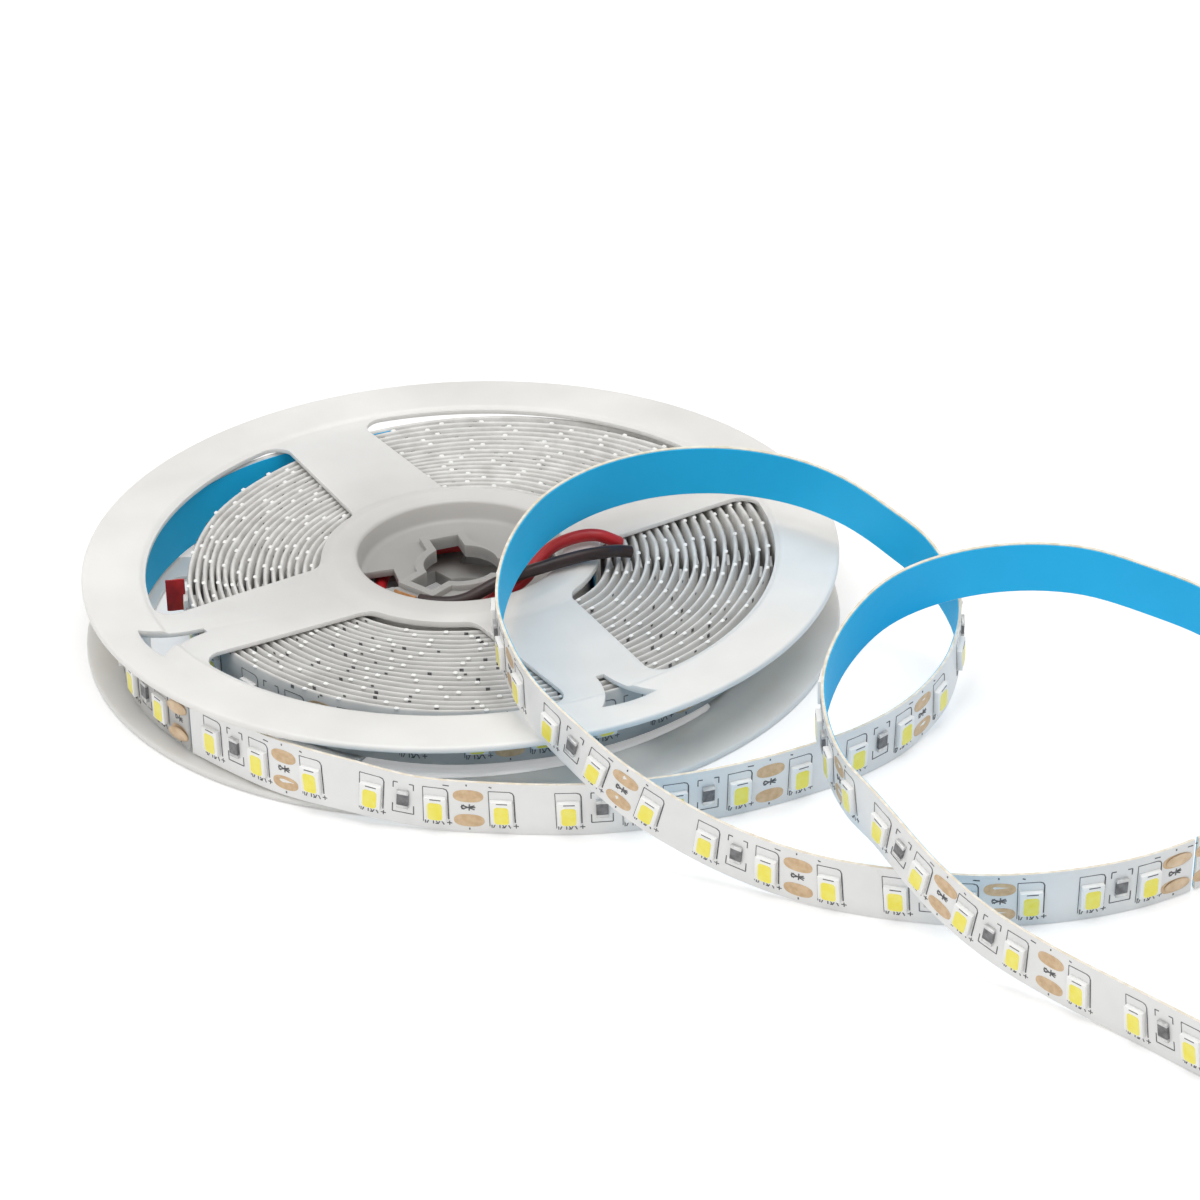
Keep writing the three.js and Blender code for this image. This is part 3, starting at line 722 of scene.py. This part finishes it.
# The liner shows on the first stretch and the last, and not in the narrow gaps between
linerSpans = ((0, coil["innerLiner"]), (woundEnd - coil["outerLiner"], woundEnd))
stripLiner("wound_liner", linerSpans, woundLay, coil["linerInset"], coil["thick"], coil["liner"])

# Whole cut lengths counted back from the splice
lastCut = woundEnd - 2
woundPads = [lastCut - cut["length"] * k for k in range(int(lastCut // cut["length"]))]
woundLeds = [c - cut["length"] * s for c in woundPads for s in (1 / 6, 0.5, 5 / 6)
             if c - cut["length"] * s > 3]
woundChips = [c - cut["length"] / 3 for c in woundPads if c > 20]
faceShift = coil["thick"] / 2 - strip["thick"] / 2
coilFace = cut["face"] + faceShift
spares = []


def lifted(kit, height=None):
    # The same piece on the wound strip's face, cut down to a height where one is given
    twin = copied(kit)
    places = placesOf(twin)
    places[:, 2] += faceShift
    if height is not None:
        places[:, 2] = np.minimum(places[:, 2], height)
    setPlaces(twin, places)
    spares.append(twin)
    return twin


# Inner turns show only their upper edge: plain packages and printed ticks, with small white nubs at the
# top edge that are painted highlights for the glints over the packages
plainLed = flatBlock("plainLed", (0, cut["ledCentre"], coilFace + coil["ledSize"][2] / 2),
                     coil["ledSize"])
# Painted highlight: a small white nub on the strip's top edge stands in for a glint
glintNub = flatBlock("glintNub", (0, 3.98, coilFace - 0.12), coil["glintNub"], 0.12, 1)
tick = joined([flatStroke((-0.26, 3.7), (0.26, 3.7), 0.5, 0.04, coilFace + 0.02),
               flatStroke((4.4, 3.82), (4.8, 3.82), 0.26, 0.04, coilFace + 0.02)], "tick")


def scattered(distances, reach, rate):
    # The same places, each moved a little along the strip
    return [d + reach * math.sin(d * rate) for d in distances]


seenFrom, plainTo = woundEnd - coil["seenEnd"], woundEnd - coil["plainEnd"]
innerLeds = [d for d in woundLeds if d < seenFrom]
outerLeds, outerPads, outerChips = ([d for d in places if d >= seenFrom]
                                    for places in (woundLeds, woundPads, woundChips))
glintNubPlaces = scattered([d for d in woundLeds if d < plainTo], 2.2, 1.7)
tickPlaces = scattered([d for d in woundPads if 5 < d < plainTo], 4.6, 2.9)
# The glint nubs take the package white as painted highlights
woundPackagesAndGlints = joined([
    laidOut("w", plainLed, innerLeds, woundLay),
    laidOut("w", lifted(ledKit["package"], 0.98 + faceShift), outerLeds, woundLay),
    laidOut("w", glintNub, glintNubPlaces, woundLay)], "wound_packages_and_glints")
finished(woundPackagesAndGlints, packageWhite, "strip_board")
finishedRow("wound_phosphor", lifted(ledKit["phosphor"]), outerLeds, woundLay, phosphorYellow)
woundInk = joined([
    laidOut("w", lifted(ledInk), outerLeds, woundLay),
    laidOut("w", lifted(bracketInk), outerChips, woundLay),
    laidOut("w", lifted(padInk), outerPads, woundLay),
    laidOut("w", tick, tickPlaces, woundLay)], "wound_ink")
finished(woundInk, inkGrey, "strip_board")
finishedRow("wound_resistors", lifted(chipKit), outerChips, woundLay, resistorDark)
finishedRow("wound_resistor_caps", lifted(capKit), outerChips, woundLay, capSilver, "solder")
finishedRow("wound_pads", lifted(padKit), outerPads, woundLay, padCopper, "solder")
print("wound strip laid:", len(woundLeds), "packages")

# The two reel halves, in millimetres and degrees
reel = {
    "height": 10.6, "rim": 1.0, "plate": 0.6, "gap": 0.3, "radius": 50.5, "band": 7.7, "steps": 160,
    "windowOuter": 42, "windowInner": 18.6, "windowFillet": 2.6, "spokeRim": 12, "spokeHub": 13.6,
    "spokeAngle": 28.5, "ringRise": 0.4, "drum": 17.2, "drumWall": 1, "well": 13.8, "wellWall": 0.8,
    "wellDepth": 2.9, "floor": 1, "collarWall": 1.1, "collarRise": 0.8, "spindle": 5, "keyWidth": 4,
    "keyReach": 7.8, "keyAngle": 108, "slotAngles": (13, 193, 283), "slotRadius": 10.8,
    "slotLength": 4.2, "slotWidth": 5, "drumSlotAngle": 52, "drumSlot": (3, 5), "trumpets": (2, 3),
    "trumpet": (37.7, 46.3, 4, 0.6), "edge": 0.2, "through": (-5, 20),
}


def bent(a, b, c, count):
    # Points on a soft arc from a to c, drawn towards b
    a, b, c = (np.array(p, dtype=float) for p in (a, b, c))
    return [a * (1 - t) ** 2 + b * 2 * t * (1 - t) + c * t ** 2 for t in np.linspace(0, 1, count)]


def roundedProfile(corners):
    # corners: radius, height, rounding; each rounded corner becomes a short arc
    profile, count = [], len(corners)
    for i, (r, z, soft) in enumerate(corners):
        here = np.array([r, z])
        if not soft:
            profile.append(here)
            continue
        before = np.array(corners[i - 1][:2])
        after = np.array(corners[(i + 1) % count][:2])
        a = here + (before - here) * min(soft / np.linalg.norm(before - here), 0.45)
        b = here + (after - here) * min(soft / np.linalg.norm(after - here), 0.45)
        profile += bent(a, here, b, 5)
    return profile


def spun(name, corners, steps):
    profile = roundedProfile(corners)
    deselectAll()
    bpy.ops.mesh.primitive_circle_add(vertices=len(profile), radius=1, fill_type="NOTHING")
    ring = bpy.context.object
    ring.name = name
    setPlaces(ring, np.array([(r, 0, z) for r, z in profile]) * mm)
    editAll(ring)
    bpy.ops.mesh.spin(steps=steps, angle=2 * math.pi, center=(0, 0, 0), axis=(0, 0, 1))
    bpy.ops.object.mode_set(mode="OBJECT")
    outwards(ring)
    return ring


def upright(name, outline, low, high):
    deselectAll()
    bpy.ops.mesh.primitive_circle_add(vertices=len(outline), radius=1, fill_type="NGON")
    slab = bpy.context.object
    slab.name = name
    setPlaces(slab, np.array([(x, y, low) for x, y in outline]) * mm)
    editAll(slab)
    bpy.ops.mesh.extrude_region_move(TRANSFORM_OT_translate={"value": (0, 0, (high - low) * mm)})
    bpy.ops.object.mode_set(mode="OBJECT")
    outwards(slab)
    return slab


def arcPoints(centre, radius, start, end, count):
    return [(centre[0] + radius * math.cos(a), centre[1] + radius * math.sin(a))
            for a in np.linspace(start, end, count)]


def windowOutline():
    rimHalf, hubHalf = reel["spokeRim"] / 2, reel["spokeHub"] / 2
    fillet, quarter = reel["windowFillet"], math.pi / 2
    outer, inner = reel["windowOuter"], reel["windowInner"]
    outerSwing = math.asin((rimHalf + fillet) / (outer - fillet))
    innerSwing = math.asin((hubHalf + fillet) / (inner + fillet))

    def corner(r, a, start, end, count):
        return arcPoints((r * math.cos(a), r * math.sin(a)), fillet, start, end, count)[1:]

    points = arcPoints((0, 0), outer, outerSwing, quarter - outerSwing, 34)
    points += corner(outer - fillet, quarter - outerSwing, quarter - outerSwing, math.pi, 9)
    points += corner(inner + fillet, quarter - innerSwing, math.pi, quarter - innerSwing + math.pi, 7)
    points += arcPoints((0, 0), inner, quarter - innerSwing, innerSwing, 12)[1:]
    points += corner(inner + fillet, innerSwing, innerSwing + math.pi, 1.5 * math.pi, 7)
    points += corner(outer - fillet, outerSwing, -math.pi / 2, outerSwing, 9)[:-1]
    return points


def trumpetOutline():
    inner, outer, mouth, throat = reel["trumpet"]
    bend, lip = inner + (outer - inner) * 0.55, outer - 0.8
    points = bent((inner, -throat), (bend, -throat * 1.6), (lip, -mouth), 9)
    points += bent((lip, -mouth), (outer + 0.3, 0), (lip, mouth), 9)[1:]
    points += bent((lip, mouth), (bend, throat * 1.6), (inner, throat), 9)[1:]
    return points


def turnedOutline(points, degrees):
    a = math.radians(degrees)
    return [(x * math.cos(a) - y * math.sin(a), x * math.sin(a) + y * math.cos(a)) for x, y in points]


def keyedHole(distance=0.0):
    # The spindle's hole with its three key slots, or the collar that follows it at a distance
    points, half = [], reel["keyWidth"] / 2 + distance
    radius, reach = reel["spindle"] + distance, reel["keyReach"] + distance
    foot, swing = math.sqrt(radius ** 2 - half ** 2), math.asin(half / radius)
    for k in range(3):
        centre = math.radians(reel["keyAngle"] + 120 * k)
        corners = [(foot, -half), (reach, -half), (reach, half), (foot, half)]
        points += turnedOutline(corners, math.degrees(centre))
        points += arcPoints((0, 0), radius, centre + swing, centre + 2 * math.pi / 3 - swing, 10)[1:-1]
    return points


def rectangle(length, width, offset):
    near, far, side = offset - length / 2, offset + length / 2, width / 2
    return [(near, -side), (far, -side), (far, side), (near, side)]


def cutter(name, outline, degrees):
    return upright(name, turnedOutline(outline, degrees), *reel["through"])


def reelHalf(name, drumOutside, ringRise, slotAngle, flip):
    underside = reel["height"] - reel["rim"]
    spokeTop = underside + reel["plate"]
    top = reel["height"]
    ringTop = top + ringRise
    bandInner = reel["radius"] - reel["band"]
    floorTop = ringTop - reel["wellDepth"]
    floorBottom = floorTop - reel["floor"]
    wellOuter = reel["well"] + reel["wellWall"]
    reach = reel["rim"] + reel["gap"]
    # Corners of each section: radius, height, rounding
    flange = spun(name, [
        (1.5, floorBottom, 0), (wellOuter, floorBottom, 0.3), (wellOuter, underside, 0),
        (reel["radius"], underside, 0.35), (reel["radius"], top, 0.45), (bandInner, top, 0.3),
        (bandInner - 0.5, spokeTop, 0.3), (reel["windowInner"] + 0.6, spokeTop, 0.6),
        (reel["drum"], ringTop, 0.5), (reel["well"], ringTop, 0.5), (reel["well"] - 0.5, floorTop, 0.6),
        (1.5, floorTop, 0)], reel["steps"])
    drum = spun("drum", [
        (drumOutside - reel["drumWall"], reach, 0.3), (drumOutside, reach, 0.3),
        (drumOutside, underside + 0.3, 0), (drumOutside - reel["drumWall"], underside + 0.3, 0)],
        reel["steps"])
    collar = upright("collar", keyedHole(reel["collarWall"]), floorBottom + 0.1,
                     floorTop + reel["collarRise"])
    for added in (drum, collar):
        union = flange.modifiers.new("union", "BOOLEAN")
        union.operation, union.object, union.solver = "UNION", added, "EXACT"
    useModifiers(flange)
    cutters = [cutter("window", windowOutline(), reel["spokeAngle"] + 90 * k) for k in range(4)]
    cutters += [cutter("trumpet", trumpetOutline(), reel["spokeAngle"] + 90 * k)
                for k in reel["trumpets"]]
    cutters.append(upright("hole", keyedHole(), *reel["through"]))
    slot = rectangle(reel["slotLength"], reel["slotWidth"], reel["slotRadius"])
    cutters += [cutter("slot", slot, angle) for angle in reel["slotAngles"]]
    width, tall = reel["drumSlot"]
    wide = rectangle(8, width, (reel["drum"] + reel["well"]) / 2)
    cutters.append(upright("drumSlot", turnedOutline(wide, slotAngle),
                           top / 2 - tall / 2, top / 2 + tall / 2))
    tool = joined(cutters, "tools")
    cutting = flange.modifiers.new("cut", "BOOLEAN")
    cutting.operation, cutting.object, cutting.solver = "DIFFERENCE", tool, "EXACT"
    useModifiers(flange)
    editAll(flange)
    bpy.ops.mesh.remove_doubles(threshold=2e-6)
    bpy.ops.mesh.dissolve_limited(angle_limit=math.radians(0.4))
    bpy.ops.mesh.select_all(action="DESELECT")
    bpy.ops.mesh.edges_select_sharp(sharpness=math.radians(40))
    bpy.ops.mesh.bevel(offset=reel["edge"] * mm, segments=3, clamp_overlap=True, affect="EDGES")
    bpy.ops.object.mode_set(mode="OBJECT")
    for spare in (drum, collar, tool):
        bpy.data.objects.remove(spare, do_unlink=True)
    if flip:
        places = placesOf(flange)
        places[:, 1] *= -1
        places[:, 2] = reel["height"] * mm - places[:, 2]
        setPlaces(flange, places)
    smoothed(flange, 32)
    flange.data.name = name
    print(name, "made:", len(flange.data.polygons), "faces")
    return flange


upperHalf = reelHalf("upper_half", reel["drum"], reel["ringRise"], reel["drumSlotAngle"], False)
finished(upperHalf, mouldedWhite, "reel_plastic", "upper_reel_half")
innerDrum = reel["drum"] - reel["drumWall"] - reel["gap"]
lowerHalf = reelHalf("lower_half", innerDrum, 0, -reel["drumSlotAngle"], True)
finished(lowerHalf, mouldedWhite, "reel_plastic", "lower_reel_half")

# The two leads, laid over the hub ring into the well: x, y, z in millimetres
leads = {"diameter": 1.7, "bare": 4, "bareGap": 0.3, "strands": 5, "strand": 0.36, "strandShift": 0.24}
redRoute = [
    (21.2, 1.2, 10.5), (20.1, 0.6, 11.4), (18.7, 0.4, 12.1), (16.9, 0.3, 12.3), (14.2, -0.9, 12.3),
    (11.8, -3, 12.1), (10.2, -5, 11.3), (8.6, -7.1, 10.2), (6.8, -8.8, 9.7), (4.9, -10, 9.4),
    (3.1, -10.5, 8.1), (1.4, -10.7, 6.4), (-1.2, -10.8, 5.7), (-4.4, -10, 5.6), (-7.2, -8.2, 5.6),
    (-9.4, -5.5, 5.6), (-10.7, -2.2, 5.6), (-10.8, 1.4, 5.6), (-9.8, 4.8, 5.6), (-7.6, 7.8, 5.6),
    (-4.6, 9.9, 5.6), (-1.2, 10.8, 5.6), (2.4, 10.6, 5.6), (5.6, 9.3, 5.6)]
blackRoute = [
    (22.6, -1.2, 10.4), (20.9, -2.1, 11.1), (19.3, -3.6, 11.8), (16.4, -5.1, 12.2),
    (13, -6.7, 12.2), (10.8, -7.8, 12.1), (9, -8.6, 12), (7, -9.5, 11.8), (5, -10.4, 11.5),
    (2.8, -11.4, 10.8),
    (0.8, -12, 10.1), (-1.4, -12.1, 9.7), (-4, -11.5, 9.6), (-6.6, -10.2, 9.6), (-8.6, -8.6, 9.6)]


def roundWire(name, points, diameter):
    data = bpy.data.curves.new(name, "CURVE")
    data.dimensions = "3D"
    line = data.splines.new("POLY")
    line.points.add(len(points) - 1)
    for spot, place in zip(line.points, points):
        spot.co = (*(np.array(place) * mm), 1)
    data.bevel_depth, data.bevel_resolution, data.use_fill_caps = diameter / 2 * mm, 5, True
    wire = bpy.data.objects.new(name, data)
    bpy.context.collection.objects.link(wire)
    return wire


def lead(colour, route, material, slot):
    line, _ = softLine(route, 6)
    run = np.concatenate([[0], np.cumsum(np.linalg.norm(np.diff(line, axis=0), axis=1))])
    stop = run[-1] - leads["bare"]
    jacket = roundWire(colour + "_wire", line[run <= stop], leads["diameter"])
    finished(jacket, material, slot, colour + "_lead")
    strands = []
    bare = line[run > stop + leads["bareGap"]]
    for k in range(leads["strands"]):
        turnBy = 2 * math.pi * k / leads["strands"]
        shift = np.array([0, math.cos(turnBy), math.sin(turnBy)]) * (leads["strandShift"] if k else 0)
        strands.append(roundWire("strand", bare + shift, leads["strand"]))
    for strand in strands:
        pick(strand)
        bpy.ops.object.convert(target="MESH")
    core = joined(strands, colour + "_strands")
    finished(core, strandCopper, "tinned_core", colour + "_lead_core")
    print(colour, "lead", round(stop, 1), "mm")


lead("red", redRoute, leadRed, "red_insulation")
lead("black", blackRoute, leadBlack, "black_insulation")

# Tab of tape at the wound strip's last turn
tab = {"reach": 2.5, "tall": 4.6, "thick": 0.3, "bow": 0.12, "bowRate": 5}
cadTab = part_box("tape_tab")
tabCentre = (np.array(cadTab[0]) + np.array(cadTab[1])) / 2
deselectAll()
bpy.ops.mesh.primitive_grid_add(x_subdivisions=8, y_subdivisions=1, size=1)
tape = bpy.context.object
places = placesOf(tape)
bow = tab["bow"] * np.sin(places[:, 0] * tab["bowRate"])
flat = np.column_stack([places[:, 0] * tab["reach"], bow, places[:, 1] * tab["tall"]]) * mm
setPlaces(tape, flat + tabCentre)
wall = tape.modifiers.new("wall", "SOLIDIFY")
wall.thickness, wall.offset = tab["thick"] * mm, 0
useModifiers(tape)
tape.name = tape.data.name = "tape"
smoothed(tape)
finished(tape, tapeRed, "red_tape", "tape_tab")
print("leads and tape made")

for kit in kits + spares + [plainLed, glintNub, tick]:
    bpy.data.objects.remove(kit, do_unlink=True)

# Floor, background and lamps: the floor and the sky look white to the camera
floorSet = {"size": 6, "tone": 0.82, "rough": 0.9, "shine": 0.1, "glow": 0.3}
skySet = {"lighting": 0.54, "seen": 1.0}
deselectAll()
bpy.ops.mesh.primitive_plane_add(size=floorSet["size"], location=(0, 0, 0))
floor = bpy.context.object
floor.name = "floor"
floorPaper = bpy.data.materials.new("floorPaper")
floorPaper.use_nodes = True
nodes, links = floorPaper.node_tree.nodes, floorPaper.node_tree.links
paper = nodes["Principled BSDF"]
paper.inputs["Base Color"].default_value = (floorSet["tone"],) * 3 + (1,)
paper.inputs["Roughness"].default_value = floorSet["rough"]
paper.inputs["Specular IOR Level"].default_value = floorSet["shine"]
glow = nodes.new("ShaderNodeEmission")
rays = nodes.new("ShaderNodeLightPath")
either = nodes.new("ShaderNodeMath")
either.operation = "MAXIMUM"
strength = nodes.new("ShaderNodeMath")
strength.operation = "MULTIPLY"
strength.inputs[1].default_value = floorSet["glow"]
links.new(rays.outputs["Is Camera Ray"], either.inputs[0])
links.new(rays.outputs["Is Glossy Ray"], either.inputs[1])
links.new(either.outputs[0], strength.inputs[0])
links.new(strength.outputs[0], glow.inputs["Strength"])
both = nodes.new("ShaderNodeAddShader")
links.new(paper.outputs[0], both.inputs[0])
links.new(glow.outputs[0], both.inputs[1])
links.new(both.outputs[0], nodes["Material Output"].inputs["Surface"])
floor.data.materials.append(floorPaper)

world = bpy.data.worlds.new("studio")
bpy.context.scene.world = world
world.use_nodes = True
nodes, links = world.node_tree.nodes, world.node_tree.links
sky = nodes["Background"]
skyRays = nodes.new("ShaderNodeLightPath")
level = nodes.new("ShaderNodeMapRange")
level.inputs["To Min"].default_value = skySet["lighting"]
level.inputs["To Max"].default_value = skySet["seen"]
seen = nodes.new("ShaderNodeMath")
seen.operation = "MAXIMUM"
links.new(skyRays.outputs["Is Camera Ray"], seen.inputs[0])
links.new(skyRays.outputs["Is Transmission Ray"], seen.inputs[1])
links.new(seen.outputs[0], level.inputs["Value"])
links.new(level.outputs["Result"], sky.inputs["Strength"])
sky.inputs["Color"].default_value = (1, 1, 1, 1)

# Name, place and size in metres, power in watts; both lamps aim at the reel's axis
lamps = [("overhead", (0.05, -0.1, 0.9), 0.9, 4.7), ("front", (-0.5, -0.9, 0.6), 0.6, 2.0)]
for name, place, size, power in lamps:
    deselectAll()
    bpy.ops.object.light_add(type="AREA", location=place)
    lamp = bpy.context.object
    lamp.name = name
    lamp.data.shape, lamp.data.size, lamp.data.energy = "DISK", size, power
    lamp.rotation_euler = (-Vector(place)).to_track_quat("-Z", "Y").to_euler()
bpy.context.scene.view_settings.view_transform = "Standard"
print("studio set")
